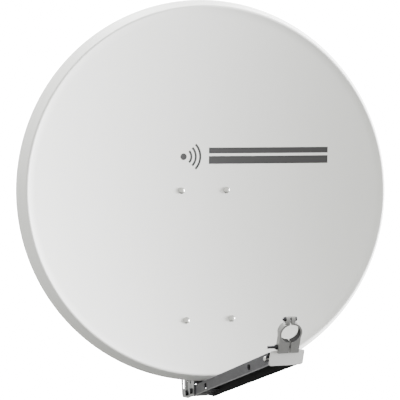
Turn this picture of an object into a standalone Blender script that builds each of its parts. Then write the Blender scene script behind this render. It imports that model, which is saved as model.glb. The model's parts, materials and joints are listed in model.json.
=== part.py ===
"""Offset satellite dish with a folding feed arm, an LNB clamp and a mast clamp.

World frame, in metres: the mast axis is the Z axis, the dish faces -Y and the middle of
the mast clamp is the origin. The dish stands at its rest elevation, with its rim upright.
Places on the dish are given as (x, forward, up) from the middle of the front rim plane.
"""
import math

import bmesh
import bpy
from mathutils import Matrix, Vector

# Driving dimensions, in metres and degrees
RIM_HALF_WIDTH = 0.450          # front edge of the reflector
RIM_HALF_HEIGHT = 0.447
BOWL_DEPTH = 0.075              # behind the front edge, on the dish's own axis
OFFSET_ANGLE = 25.5             # between the beam and the rim plane's normal
SKIRT_DEPTH = 0.041             # rolled-back edge of the reflector
SKIRT_FLARE = 0.0205
SHEET = 0.0012                  # reflector sheet
RIM_AHEAD_OF_MAST = 0.300       # rim plane to mast axis
RIM_ABOVE_CLAMP = 0.140         # rim centre to clamp centre
GAP = 0.0003                    # between faces that touch

BOLT_X = 0.058                  # reflector bolt pattern
BOLT_UP_HIGH = 0.0005
BOLT_UP_LOW = -0.3165

CHEEK_INNER = 0.0344            # support channel, half the clear width
PLATE = 0.003                   # pressed steel
STRAP_HALF_HEIGHT = 0.015
RIVET_X = 0.022                 # strap to channel
ARM_HALF_WIDTH = 0.0340
ARM_HEIGHT = 0.0255
ARM_WALL = 0.002
ARM_SLOPE = 15.4
ARM_PIVOT = (-0.078, -0.4968)   # (forward, up)
ARM_REAR = 0.058                # behind the pivot, along the arm
ARM_FRONT = 0.6070              # ahead of the pivot, along the arm
ARM_LOCK_BEHIND = 0.0436
CABLE_SLOTS = (0.1193, 0.4710)  # along the arm
CABLE_SLOT_RADIUS = 0.0063
CABLE_SLOT_STRAIGHT = 0.0080
CROSS_BOLT = (0.5870, 0.0025)   # along the arm, and above its middle
HOLDER_SCREW = (0.0130, 0.5975) # x, and along the arm
NOTCH_DEPTH = 0.0165            # in the arm's left wall, behind the cap
CAP_HALF_WIDTH = 0.0362
CAP_TOP = -0.317                # up
CAP_LOW = -0.3495
CAP_SETBACK = 0.0030            # the cap's face lies behind the clamp's face
CAP_PLATE = 0.004
CAP_NECK_HALF_WIDTH = 0.020

ELEVATION_PIVOT = (-0.140, -0.115)
ELEVATION_RADIUS = 0.060        # pivot to lock bolt
TILT_BACK = 30.0
TILT_DOWN = 10.0

MAST_RADIUS = 0.030             # largest mast
V_HALF_ANGLE = 60.0             # between a V edge and the clamping direction
CLAMP_BOLT_X = 0.049
CLAMP_HALF_HEIGHT = 0.045

COLLAR_CENTRE = (0.540, -0.279) # (forward, up)
COLLAR_TILT = 23.0              # the LNB looks up at the reflector
COLLAR_BORE = 0.020             # radius
COLLAR_OUTER = 0.0240
COLLAR_HALF_LENGTH = 0.0075
COLLAR_FOOT = 0.0445            # lowest edge, below the collar's axis
COLLAR_SHOULDER = -0.011        # where the base's sides end, above the collar's axis
BASE_HALF_WIDTH = 0.0222
SLIT = 0.0030                   # between the two halves
SLIT_LOW_X = 0.0020             # middle of the slit, under the bore
SLIT_TOP_X = -0.0030            # and over it, between the ears
EAR_ABOVE = 0.0300              # upper screw, above the collar's axis
EAR_RADIUS = 0.0052
EAR_HALF_WIDTH = 0.0095
EAR_ROOT = (0.006, 0.0205)      # half thickness, and start above the collar's axis
CLAMP_SCREW = (0.5270, -0.3094) # lower screw (forward, up)
SCREW_HEAD_SUNK = 0.0043        # the lower screw's head, in the base's right side
SCREW_END = 0.0430              # the lower screw's free end, left of the middle

WEB_END = -0.4762               # lowest edge of the channel's web
REAR_LIP = (-0.1530, -0.5155)   # middle of the lip behind the arm (forward, up)
REAR_LIP_HALF_HEIGHT = 0.009
TIE_HOLE = (-0.088, -0.476)     # in both cheeks
TIE_HOLE_RADIUS = 0.0045

# Threaded parts, in metres
M8 = {"flats": 0.013, "head": 0.0053, "radius": 0.0040, "nut": 0.0065, "bore": 0.0042,
      "hole": 0.0043, "washer": 0.0085, "washer_thickness": 0.0016}
M6 = {"flats": 0.010, "head": 0.0040, "radius": 0.0030, "nut": 0.0050, "bore": 0.0032,
      "hole": 0.0033}
M5 = {"flats": 0.008, "head": 0.0035, "radius": 0.0025, "nut": 0.0040, "bore": 0.0028,
      "hole": 0.0028}
CARRIAGE_BOLT = {"dome": 0.0080, "head": 0.0038, "radius": 0.0030, "hole": 0.0036}
RIVET = {"dome": 0.0060, "head": 0.0024, "radius": 0.0030, "hole": 0.0034}
CROSS_SCREW = {"dome": 0.0055, "head": 0.0035, "radius": 0.0030}
CARRIAGE_BOLT_LENGTH = 0.0170
NUT_FLANGE = 0.0075             # radius
HEAD_RECESS = 0.0060            # radius
BORE_SIDES = 40

# Values that follow from them
RIM_Y = -RIM_AHEAD_OF_MAST
RIM_Z = RIM_ABOVE_CLAMP
EDGE_ROLL = 0.006
BOWL_SHIFT = BOWL_DEPTH * math.tan(math.radians(OFFSET_ANGLE))
CHEEK_OUTER = CHEEK_INNER + PLATE
V_VERTEX = MAST_RADIUS / math.sin(math.radians(V_HALF_ANGLE))
WEB_BACK = V_VERTEX + 0.009     # mast axis to the face of each clamp web
X_AXIS = Vector((1, 0, 0))
Y_AXIS = Vector((0, 1, 0))
Z_AXIS = Vector((0, 0, 1))

FINISHES = {
    # name: (colour, roughness, metallic)
    "reflector_coat": ((0.62, 0.62, 0.60), 0.45, 0.0),
    "arm_paint": ((0.115, 0.115, 0.125), 0.40, 0.35),
    "bracket_zinc": ((0.30, 0.30, 0.31), 0.42, 0.85),
    "fastener_zinc": ((0.62, 0.62, 0.60), 0.30, 1.0),
    "fastener_black": ((0.06, 0.06, 0.065), 0.35, 0.80),
    "cap_plastic": ((0.55, 0.55, 0.55), 0.50, 0.0),
    "clamp_casting": ((0.24, 0.24, 0.24), 0.45, 0.80),
}


def at(x, forward, up):
    """A place on the dish, in world coordinates."""
    return Vector((x, RIM_Y - forward, RIM_Z + up))


def finish(name):
    material = bpy.data.materials.get(name)
    if material is None:
        colour, roughness, metallic = FINISHES[name]
        material = bpy.data.materials.new(name)
        material.use_nodes = True
        shader = material.node_tree.nodes["Principled BSDF"]
        shader.inputs["Base Color"].default_value = (*colour, 1.0)
        shader.inputs["Roughness"].default_value = roughness
        shader.inputs["Metallic"].default_value = metallic
        material.diffuse_color = (*colour, 1.0)
    return material


def add_object(name, bm, matrix=None):
    """A new object from a bmesh, with its faces turned outward."""
    bmesh.ops.recalc_face_normals(bm, faces=bm.faces)
    mesh = bpy.data.meshes.new(name)
    bm.to_mesh(mesh)
    bm.free()
    made = bpy.data.objects.new(name, mesh)
    bpy.context.collection.objects.link(made)
    if matrix is not None:
        made.matrix_world = matrix
    return made


def dress(made, finish_name, parent=None, smooth_under=None):
    """Give an object its finish, its parent and its shading."""
    made.data.materials.clear()
    made.data.materials.append(finish(finish_name))
    if smooth_under is not None:
        made.data.shade_smooth()
        made.data.set_sharp_from_angle(angle=math.radians(smooth_under))
    if parent is not None:
        made.parent = parent
        made.matrix_parent_inverse = parent.matrix_world.inverted()
    return made


def combine(body, operation, tools):
    """Join tools to a body, or cut them from it."""
    for tool in tools:
        step = body.modifiers.new("combine", "BOOLEAN")
        step.operation = operation
        step.solver = "EXACT"
        step.object = tool
    bpy.context.view_layer.update()
    evaluated = body.evaluated_get(bpy.context.evaluated_depsgraph_get())
    result = bpy.data.meshes.new_from_object(evaluated)
    body.modifiers.clear()
    body.data = result
    for tool in tools:
        bpy.data.objects.remove(tool, do_unlink=True)
    return body


def loft(rings, loop=False, tips=None):
    """A closed solid through rings of points. Its ends are faces, or fans to two tips, or
    the last ring joins the first."""
    bm = bmesh.new()
    rows = [[bm.verts.new(point) for point in ring] for ring in rings]
    pairs = list(zip(rows, rows[1:]))
    if loop:
        pairs.append((rows[-1], rows[0]))
    elif tips:
        for row, tip in ((rows[0], tips[0]), (rows[-1], tips[1])):
            middle = bm.verts.new(tip)
            for i, vert in enumerate(row):
                bm.faces.new((vert, row[(i + 1) % len(row)], middle))
    else:
        bm.faces.new(rows[0])
        bm.faces.new(rows[-1])
    for low, high in pairs:
        for i in range(len(low)):
            j = (i + 1) % len(low)
            bm.faces.new((low[i], low[j], high[j], high[i]))
    return bm


def circle(radius, z, sides=12):
    turns = [2 * math.pi * i / sides for i in range(sides)]
    return [Vector((radius * math.cos(t), radius * math.sin(t), z)) for t in turns]


def hexagon(across_flats, z):
    """Twelve points: the corners and the middles of the flats."""
    corner = across_flats / 2 / math.cos(math.radians(30))
    points = circle(1.0, 0.0)
    radii = [corner if i % 2 == 0 else across_flats / 2 for i in range(12)]
    return [Vector((p.x * r, p.y * r, z)) for p, r in zip(points, radii)]


def frame_along(origin, direction):
    """A matrix at origin whose local Z runs along direction."""
    turn = Z_AXIS.rotation_difference(Vector(direction)).to_matrix().to_4x4()
    return Matrix.Translation(origin) @ turn


def rod(name, radius, start, end, sides=16):
    """A plain cylinder between two points."""
    start, end = Vector(start), Vector(end)
    rings = [circle(radius, 0.0, sides), circle(radius, (end - start).length, sides)]
    return add_object(name, loft(rings), frame_along(start, end - start))


def block(name, low, high):
    corners = [(low[0], low[1]), (high[0], low[1]), (high[0], high[1]), (low[0], high[1])]
    return add_object(name, loft([[Vector((x, y, z)) for x, y in corners]
                                  for z in (low[2], high[2])]))


def side_prism(name, outline, x_low, x_high):
    """A plate from a (forward, up) outline on the dish, between two x values."""
    rings = [[at(x, forward, up) for forward, up in outline] for x in (x_low, x_high)]
    return add_object(name, loft(rings))


def flat_prism(name, outline, z_low, z_high):
    """A plate from an (x, y) outline, between two heights."""
    rings = [[Vector((x, y, z)) for x, y in outline] for z in (z_low, z_high)]
    return add_object(name, loft(rings))


def arc(centre, radius, first, last, steps):
    """Points on an arc in a plane, angles in degrees."""
    turns = [math.radians(first + (last - first) * i / steps) for i in range(steps + 1)]
    return [(centre[0] + radius * math.cos(t), centre[1] + radius * math.sin(t))
            for t in turns]


def arc_slot(centre, radius, width, first, last, steps):
    """The outline of a curved slot with round ends."""
    start = arc(centre, radius, first, first, 1)[0]
    end = arc(centre, radius, last, last, 1)[0]
    return (arc(centre, radius + width / 2, first, last, steps)
            + arc(end, width / 2, last, last + 180, 6)[1:-1]
            + arc(centre, radius - width / 2, last, first, steps)
            + arc(start, width / 2, first + 180, first + 360, 6)[1:-1])


def axis_empty(name, location, parent=None):
    empty = bpy.data.objects.new(name, None)
    empty.empty_display_size = 0.03
    empty.location = location
    bpy.context.collection.objects.link(empty)
    bpy.context.view_layer.update()
    if parent is not None:
        empty.parent = parent
        empty.matrix_parent_inverse = parent.matrix_world.inverted()
        bpy.context.view_layer.update()
    return empty


# Fasteners: every bolt starts under its head, at its local origin, and runs along +Z
def hex_bolt(name, size, length, start, direction, parent, finish_name="fastener_zinc"):
    flats, head, radius = size["flats"], size["head"], size["radius"]
    rings = [hexagon(flats * 0.90, -head), hexagon(flats, -head * 0.85),
             hexagon(flats, 0.0), circle(radius, 0.0),
             circle(radius, length - radius * 0.3), circle(radius * 0.75, length)]
    made = add_object(name, loft(rings), frame_along(start, direction))
    return dress(made, finish_name, parent, 35)


def dome_bolt(name, size, length, start, direction, parent):
    """A carriage bolt or a button-head screw: a low dome instead of a hexagon."""
    head_radius, head, radius = size["dome"], size["head"], size["radius"]
    dome = [circle(head_radius * math.cos(math.radians(a)),
                   -head * (0.15 + 0.85 * math.sin(math.radians(a))), 16)
            for a in (80, 55, 30, 0)]
    rings = dome + [circle(head_radius, 0.0, 16), circle(radius, 0.0, 16),
                    circle(radius, length, 16)]
    made = add_object(name, loft(rings), frame_along(start, direction))
    return dress(made, "fastener_zinc", parent, 35)


def hex_nut(name, size, start, direction, parent, flange=None, finish_name="fastener_zinc"):
    """A nut, or with a flange radius a taller flange nut."""
    flats, height, bore = size["flats"], size["nut"], size["bore"]
    if flange:
        height *= 1.3
    rings = [circle(bore, 0.0), hexagon(flats, 0.0), hexagon(flats, height * 0.9),
             hexagon(flats * 0.92, height), circle(bore, height)]
    if flange:
        rings[1:2] = [circle(flange, 0.0), circle(flange, height * 0.18),
                      hexagon(flats, height * 0.3)]
    made = add_object(name, loft(rings, loop=True), frame_along(start, direction))
    return dress(made, finish_name, parent, 35)


def washer(name, size, start, direction, parent, finish_name="fastener_zinc"):
    radius, bore, thickness = size["washer"], size["bore"], size["washer_thickness"]
    rings = [circle(bore, 0.0, 20), circle(radius, 0.0, 20),
             circle(radius, thickness, 20), circle(bore, thickness, 20)]
    made = add_object(name, loft(rings, loop=True), frame_along(start, direction))
    return dress(made, finish_name, parent, 35)


# Reflector
def bowl_point(s, t):
    """Front surface at (s, t) of the unit disc: an oblique cut of a paraboloid."""
    rise = 1.0 - s * s - t * t
    x = (RIM_HALF_WIDTH - EDGE_ROLL) * s
    up = (RIM_HALF_HEIGHT - EDGE_ROLL) * t - BOWL_SHIFT * rise
    return at(x, -0.0015 - BOWL_DEPTH * rise, up)


def bowl_normal(s, t):
    """Unit normal of the front surface, towards the feed."""
    step = 1e-4
    along_s = bowl_point(s + step, t) - bowl_point(s - step, t)
    along_t = bowl_point(s, t + step) - bowl_point(s, t - step)
    return along_s.cross(along_t).normalized()


def bowl_at(x, up):
    """Front surface point and normal at a place on the rim plane."""
    s = x / (RIM_HALF_WIDTH - EDGE_ROLL)
    t = up / RIM_HALF_HEIGHT
    for _ in range(20):
        miss = up - (bowl_point(s, t).z - RIM_Z)
        t += miss / RIM_HALF_HEIGHT
    return bowl_point(s, t), bowl_normal(s, t)


def make_reflector(parent):
    """Bowl, rolled front edge and flared skirt with a turned-in hem, as one sheet."""
    segments = 72
    bowl_rings = (0.16, 0.32, 0.47, 0.61, 0.73, 0.83, 0.92, 1.0)
    flare, depth = SKIRT_FLARE, SKIRT_DEPTH
    # (outward from the rim, forward) along the middle of the sheet
    edge = [(-0.0034, -0.0008), (-0.0010, -0.0006), (0.0012, -0.0018), (0.0026, -0.0045),
            (flare - 0.0024, 0.0045 - depth), (flare - 0.0012, 0.0020 - depth),
            (flare - 0.0030, 0.0006 - depth), (flare - 0.0060, 0.0012 - depth)]
    front, back = [], []
    turns = [2 * math.pi * i / segments for i in range(segments)]
    for rho in bowl_rings:
        spots = [(rho * math.cos(t), rho * math.sin(t)) for t in turns]
        front.append([bowl_point(*spot) for spot in spots])
        back.append([bowl_point(*spot) - bowl_normal(*spot) * SHEET for spot in spots])
    before = [(-EDGE_ROLL, -0.0015 - SHEET / 2)] + edge[:-1]
    after = edge[1:] + [edge[-1]]
    for (r0, f0), (r, f), (r1, f1) in zip(before, edge, after):
        slope = Vector((r1 - r0, f1 - f0)).normalized()
        side = Vector((-slope.y, slope.x)) * SHEET / 2
        for rings, sign in ((front, 1), (back, -1)):
            outward, forward = r + sign * side.x, f + sign * side.y
            rings.append([at((RIM_HALF_WIDTH + outward) * math.cos(t), forward,
                             (RIM_HALF_HEIGHT + outward) * math.sin(t)) for t in turns])
    middle = bowl_point(0, 0)
    bm = loft(front + back[::-1], tips=(middle, middle - bowl_normal(0, 0) * SHEET))
    made = add_object("reflector", bm)
    holes = []
    for x, up, _ in reflector_bolts():
        point, normal = bowl_at(x, up)
        holes.append(rod("hole", CARRIAGE_BOLT["hole"], point + normal * 0.01,
                         point - normal * 0.01))
    combine(made, "DIFFERENCE", holes)
    return dress(made, "reflector_coat", parent, 40)


def reflector_bolts():
    return [(side * BOLT_X, up, f"{level}_{hand}")
            for up, level in ((BOLT_UP_HIGH, "upper"), (BOLT_UP_LOW, "lower"))
            for side, hand in ((-1, "left"), (1, "right"))]


def make_reflector_fasteners(parent):
    for x, up, place in reflector_bolts():
        point, normal = bowl_at(x, up)
        dome_bolt(f"reflector_bolt_{place}", CARRIAGE_BOLT, CARRIAGE_BOLT_LENGTH,
                  point + normal * 2 * GAP, -normal, parent)
        back = point - normal * (SHEET + PLATE + 4 * GAP)
        hex_nut(f"reflector_nut_{place}", M6, back, -normal, parent, NUT_FLANGE)


# Rear support
CHANNEL_FRONT = [(-0.088, 0.060), (-0.088, -0.090), (-0.054, -0.340)]


def web_forward(up):
    """Front face of the channel's web at a height on the dish."""
    (f1, u1), (f2, u2) = CHANNEL_FRONT[1:]
    if up > u1:
        return f1
    if up < u2:
        return f2
    return f1 + (f2 - f1) * (up - u1) / (u2 - u1)


def make_cross_strap(level, up, parent):
    """A pressed strap: a flat middle on the web and a foot on the reflector at each end."""
    lean = math.atan2(web_forward(up - 0.015) - web_forward(up + 0.015), 0.03)
    middle = Vector((web_forward(up) + (GAP + PLATE / 2) / math.cos(lean), up))
    stations = []
    for x in (0.078, 0.046):
        point, normal = bowl_at(x, up)
        spot = point - normal * (SHEET + 2 * GAP + PLATE / 2)
        stations.append((x, Vector((RIM_Y - spot.y, spot.z - RIM_Z)), math.asin(normal.z)))
    stations.append((0.037, middle, lean))
    rings = []
    for x, centre, tilt in stations:
        along = Vector((-math.sin(tilt), math.cos(tilt))) * STRAP_HALF_HEIGHT
        out = Vector((math.cos(tilt), math.sin(tilt))) * PLATE / 2
        rings.append((x, [centre + along + out, centre + along - out,
                          centre - along - out, centre - along + out]))
    mirrored = [(-x, ring) for x, ring in rings]
    sections = mirrored + rings[::-1]
    bm = loft([[at(x, f, u) for f, u in ring] for x, ring in sections])
    made = add_object(f"{level}_cross_strap", bm)
    holes = [rod("hole", CARRIAGE_BOLT["hole"], p + n * 0.01, p - n * 0.02)
             for p, n in (bowl_at(side * BOLT_X, up) for side in (-1, 1))]
    face = at(0, web_forward(up), up)
    web_normal = Vector((0, -math.cos(lean), math.sin(lean)))
    for side in (-1, 1):
        spot = face + X_AXIS * side * RIVET_X
        holes.append(rod("hole", RIVET["hole"], spot - web_normal * 0.01,
                         spot + web_normal * 0.01))
    combine(made, "DIFFERENCE", holes)
    dress(made, "bracket_zinc", parent, 30)
    for side, hand in ((-1, "left"), (1, "right")):
        spot = face + X_AXIS * side * RIVET_X
        start = spot + web_normal * (PLATE + 2 * GAP)
        dome_bolt(f"strap_rivet_{level}_{hand}", RIVET, 2 * PLATE + 4 * GAP + 0.003, start,
                  -web_normal, parent)


def make_support_channel(parent):
    """A pressed channel, open at the back, whose cheeks also hold the feed arm."""
    outline = CHANNEL_FRONT + [(-0.054, -0.5025), (-0.125, -0.5225), (-0.158, -0.5265)]
    outline += arc((-0.162, -0.5165), 0.010, 260, 190, 4)
    outline += [(-0.178, -0.478), (-0.178, -0.440), (-0.165, -0.400), (-0.165, 0.048)]
    outline += arc((-0.153, 0.048), 0.012, 180, 90, 3)[1:]
    made = side_prism("support_channel", outline, -CHEEK_OUTER, CHEEK_OUTER)
    inner = [(f - PLATE, u) for f, u in CHANNEL_FRONT]
    inner[0] = (inner[0][0], 0.080)
    inner += [(inner[-1][0], WEB_END), (-0.030, WEB_END), (-0.030, -0.560),
              (-0.220, -0.560), (-0.220, 0.080)]
    tools = [side_prism("hollow", inner, -CHEEK_INNER, CHEEK_INNER)]
    reach = CHEEK_OUTER + 0.01
    for forward, up in (ELEVATION_PIVOT, lock_bolt_place(), ARM_PIVOT):
        tools.append(rod("hole", M8["hole"], at(-reach, forward, up),
                         at(reach, forward, up)))
    tools.append(rod("tie_hole", TIE_HOLE_RADIUS, at(-reach, *TIE_HOLE), at(reach, *TIE_HOLE)))
    rear = 180 + ARM_SLOPE
    slot = arc_slot(ARM_PIVOT, ARM_LOCK_BEHIND, 0.0090, rear - 90, rear, 10)
    tools.append(side_prism("slot", slot, -reach, reach))
    window = [(-0.168, -0.505), (-0.149, -0.505), (-0.149, -0.458), (-0.168, -0.458)]
    tools.append(side_prism("window", window, -reach, reach))
    for up in (BOLT_UP_HIGH, BOLT_UP_LOW):
        lean = math.atan2(web_forward(up - 0.015) - web_forward(up + 0.015), 0.03)
        normal = Vector((0, -math.cos(lean), math.sin(lean)))
        for side in (-1, 1):
            spot = at(side * RIVET_X, web_forward(up), up)
            tools.append(rod("hole", RIVET["hole"], spot - normal * 0.01,
                             spot + normal * 0.01))
    combine(made, "DIFFERENCE", tools)
    forward, up = REAR_LIP
    low, high = up - REAR_LIP_HALF_HEIGHT, up + REAR_LIP_HALF_HEIGHT
    back, front = forward - PLATE / 2, forward + PLATE / 2
    lip_end = CHEEK_OUTER - PLATE / 4
    combine(made, "UNION", [side_prism("lip", [(back, low), (front, low), (front, high),
                                               (back, high)], -lip_end, lip_end)])
    return dress(made, "bracket_zinc", parent, 30)


def lock_bolt_place():
    forward, up = ELEVATION_PIVOT
    return forward, up - ELEVATION_RADIUS


def make_through_bolt(name, forward, up, parent, finish_name="fastener_zinc"):
    """A bolt across both cheeks, with a washer and a nut at its right end."""
    left = at(-CHEEK_OUTER - GAP, forward, up)
    right = at(CHEEK_OUTER + GAP, forward, up)
    end_beyond = 0.004
    length = ((right - left).length + M8["washer_thickness"] + 2 * GAP + M8["nut"]
              + end_beyond)
    hex_bolt(f"{name}_bolt", M8, length, left, X_AXIS, parent, finish_name)
    washer(f"{name}_washer", M8, right, X_AXIS, parent, finish_name)
    seat = right + X_AXIS * (M8["washer_thickness"] + GAP)
    hex_nut(f"{name}_nut", M8, seat, X_AXIS, parent, finish_name=finish_name)


# Mast bracket and jaw
def v_plate_outline(toothed_side):
    """A plate with a toothed V notch that opens towards the mast axis."""
    slope = math.tan(math.radians(90 - V_HALF_ANGLE))
    half, horn = 0.040, 0.044
    teeth, bite = 10, 0.0012
    edge = []
    for i in range(teeth + 1):
        x = half * (1 - i / teeth)
        edge.append((x, V_VERTEX - x * slope))
        if i < teeth:
            x -= half / teeth / 2
            edge.append((x, V_VERTEX - x * slope + bite))
    notch = edge + [(-x, y) for x, y in edge[-2::-1]]
    points = [(-horn, WEB_BACK + 0.002), (horn, WEB_BACK + 0.002), (horn, notch[0][1])]
    points += notch + [(-horn, notch[0][1])]
    return [(x, toothed_side * y) for x, y in points]


def make_clamp_web(name, side, plate_z):
    """A clamp plate with two toothed V plates; side is -1 before the mast, 1 behind it."""
    low, high = sorted((side * WEB_BACK, side * (WEB_BACK + 0.004)))
    made = block(name, (-0.060, low, -CLAMP_HALF_HEIGHT), (0.060, high, CLAMP_HALF_HEIGHT))
    plates = [flat_prism("v_plate", v_plate_outline(side), z - 0.002, z + 0.002)
              for z in (-plate_z, plate_z)]
    return combine(made, "UNION", plates)


def make_mast_bracket():
    made = make_clamp_web("mast_bracket", -1, 0.036)
    outer = ARM_HALF_WIDTH
    root = RIM_Y + WEB_BACK + 0.0005
    pivot_forward, pivot_up = ELEVATION_PIVOT
    outline = [(root, CLAMP_HALF_HEIGHT - RIM_Z), (pivot_forward - 0.010, pivot_up + 0.016)]
    outline += arc(ELEVATION_PIVOT, 0.016, 90, -15, 7)
    outline += arc(ELEVATION_PIVOT, ELEVATION_RADIUS + 0.011, -48, -112, 6)
    outline += [(root, -CLAMP_HALF_HEIGHT - RIM_Z)]
    cheeks = [side_prism("cheek", outline, *sorted((side * outer, side * (outer - PLATE))))
              for side in (-1, 1)]
    combine(made, "UNION", cheeks)
    reach = outer + 0.01
    tools = [rod("hole", M8["hole"], at(-reach, *ELEVATION_PIVOT),
                 at(reach, *ELEVATION_PIVOT))]
    slot = arc_slot(ELEVATION_PIVOT, ELEVATION_RADIUS, 0.0090, -90 - TILT_DOWN,
                    TILT_BACK - 90, 8)
    tools.append(side_prism("slot", slot, -reach, reach))
    tools += clamp_bolt_holes(-1)
    combine(made, "DIFFERENCE", tools)
    return dress(made, "bracket_zinc", smooth_under=30)


def clamp_bolt_holes(side):
    """Tools for the two bolt holes in the web on this side of the mast."""
    tools = []
    for x in (-CLAMP_BOLT_X, CLAMP_BOLT_X):
        spot = Vector((x, side * WEB_BACK, 0))
        tools.append(rod("hole", M8["hole"], spot - Y_AXIS * 0.01, spot + Y_AXIS * 0.01))
    return tools


def make_mast_jaw(parent):
    made = make_clamp_web("mast_jaw", 1, 0.028)
    combine(made, "DIFFERENCE", clamp_bolt_holes(1))
    return dress(made, "bracket_zinc", parent, 30)


def make_clamp_fasteners(jaw_axis):
    outside = WEB_BACK + 0.004 + GAP
    for side, hand in ((-1, "left"), (1, "right")):
        x = side * CLAMP_BOLT_X
        hex_bolt(f"mast_clamp_bolt_{hand}", M8, 2 * outside + 0.020, (x, -outside, 0),
                 Y_AXIS, None)
        washer(f"mast_clamp_washer_{hand}", M8, (x, outside, 0), Y_AXIS, jaw_axis)
        hex_nut(f"mast_clamp_nut_{hand}", M8, (x, outside + M8["washer_thickness"] + GAP, 0),
                Y_AXIS, jaw_axis)


# Feed arm
def arm_frame():
    """Origin on the fold axis, local -Y along the arm, local Z out of its top."""
    turn = Matrix.Rotation(-math.radians(ARM_SLOPE), 4, "X")
    return Matrix.Translation(at(0, *ARM_PIVOT)) @ turn


def on_arm(x, ahead, above):
    return arm_frame() @ Vector((x, -ahead, above))


def arm_rod(radius, ahead, above=0.0):
    reach = ARM_HALF_WIDTH + 0.01
    return rod("hole", radius, on_arm(-reach, ahead, above), on_arm(reach, ahead, above))


def make_feed_arm(parent):
    """An upside-down channel, open below, with cable slots in its left wall."""
    half = ARM_HEIGHT / 2
    made = block("feed_arm", (-ARM_HALF_WIDTH, -ARM_FRONT, -half),
                 (ARM_HALF_WIDTH, ARM_REAR, half))
    inside = ARM_HALF_WIDTH - ARM_WALL
    hollow = block("hollow", (-inside, -ARM_FRONT - 0.01, -half - 0.01),
                   (inside, ARM_REAR + 0.01, half - ARM_WALL))
    combine(made, "DIFFERENCE", [hollow])
    made.matrix_world = arm_frame()
    bpy.context.view_layer.update()
    tools = [arm_rod(M8["hole"], 0.0), arm_rod(M8["hole"], -ARM_LOCK_BEHIND)]
    tools.append(arm_rod(M6["hole"], *CROSS_BOLT))
    screw_x, screw_ahead = HOLDER_SCREW
    tools.append(rod("hole", M6["hole"], on_arm(screw_x, screw_ahead, 0.03),
                     on_arm(screw_x, screw_ahead, 0.0)))
    radius, straight = CABLE_SLOT_RADIUS, CABLE_SLOT_STRAIGHT / 2
    outlines = [arc((ahead + straight, 0.0), radius, -90, 90, 8)
                + arc((ahead - straight, 0.0), radius, 90, 270, 8) for ahead in CABLE_SLOTS]
    outlines.append([(ARM_FRONT + 0.001, half - 0.001), (ARM_FRONT - NOTCH_DEPTH, 0.001),
                     (ARM_FRONT + 0.001, 0.001 - half)])
    for outline in outlines:
        rings = [[on_arm(x, ahead, above) for ahead, above in outline]
                 for x in (-ARM_HALF_WIDTH - 0.01, -ARM_HALF_WIDTH + 0.01)]
        tools.append(add_object("side_cut", loft(rings)))
    combine(made, "DIFFERENCE", tools)
    return dress(made, "arm_paint", parent, 30)


def make_arm_fasteners(channel_axis, arm_axis):
    make_through_bolt("arm_pivot", *ARM_PIVOT, channel_axis, "fastener_black")
    lock = on_arm(0, -ARM_LOCK_BEHIND, 0)
    make_through_bolt("arm_lock", RIM_Y - lock.y, lock.z - RIM_Z, arm_axis,
                      "fastener_black")
    left = on_arm(-ARM_HALF_WIDTH - GAP, *CROSS_BOLT)
    span = 2 * (ARM_HALF_WIDTH + GAP)
    dome_bolt("holder_cross_bolt", CROSS_SCREW, span + 0.008, left, X_AXIS, arm_axis)
    hex_nut("holder_cross_nut", M6, left + X_AXIS * span, X_AXIS, arm_axis)


def on_cap(depth, up):
    """(forward, up) in the plane that lies depth behind the clamp's front face."""
    tilt = math.radians(COLLAR_TILT)
    forward, middle = COLLAR_CENTRE
    along = depth - COLLAR_HALF_LENGTH
    above = (up - middle - along * math.sin(tilt)) / math.cos(tilt)
    return forward + above * math.sin(tilt) - along * math.cos(tilt), up


def make_end_cap(parent):
    """A moulded cap: a plate parallel to the clamp, and a neck that plugs the arm's end."""
    half, low_corner, top_corner = CAP_HALF_WIDTH, 0.0035, 0.002
    outline = [(-half, CAP_LOW + low_corner), (-half + low_corner, CAP_LOW),
               (half - low_corner, CAP_LOW), (half, CAP_LOW + low_corner),
               (half, CAP_TOP - top_corner), (half - top_corner, CAP_TOP),
               (-half + top_corner, CAP_TOP), (-half, CAP_TOP - top_corner)]
    faces = [[at(x, *on_cap(depth, up)) for x, up in outline]
             for depth in (CAP_SETBACK + CAP_PLATE, CAP_SETBACK)]
    made = add_object("arm_end_cap", loft(faces))
    centre = on_arm(0, ARM_FRONT, 0)
    slope = math.radians(ARM_SLOPE)
    along = Vector((math.cos(slope), math.sin(slope)))
    across = Vector((-along.y, along.x))
    end = Vector((RIM_Y - centre.y, centre.z - RIM_Z))
    above = end + across * (ARM_HEIGHT / 2 - ARM_WALL - GAP)
    below = end - across * ARM_HEIGHT / 2
    back = -along * 0.0055
    inside = CAP_SETBACK + CAP_PLATE / 2
    neck = [on_cap(inside, CAP_TOP - 0.0022), tuple(above + along * 0.0025),
            tuple(above + back), tuple(below + back), tuple(below),
            on_cap(inside, below.y)]
    combine(made, "UNION", [side_prism("neck", neck, -CAP_NECK_HALF_WIDTH,
                                       CAP_NECK_HALF_WIDTH)])
    return dress(made, "cap_plastic", parent, 30)


# LNB clamp: a plate with a bore and two ears, split into two halves
def collar_frame():
    """Origin on the collar's axis, local Y along the bore, towards the reflector."""
    return (Matrix.Translation(at(0, *COLLAR_CENTRE))
            @ Matrix.Rotation(math.radians(COLLAR_TILT), 4, "X"))


def on_collar(x, along, above):
    return collar_frame() @ Vector((x, along, above))


def collar_prism(name, outline, reach):
    """A plate across the bore from an (x, above) outline, as far each way as reach."""
    rings = [[on_collar(x, along, above) for x, above in outline] for along in (-reach, reach)]
    return add_object(name, loft(rings))


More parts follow.
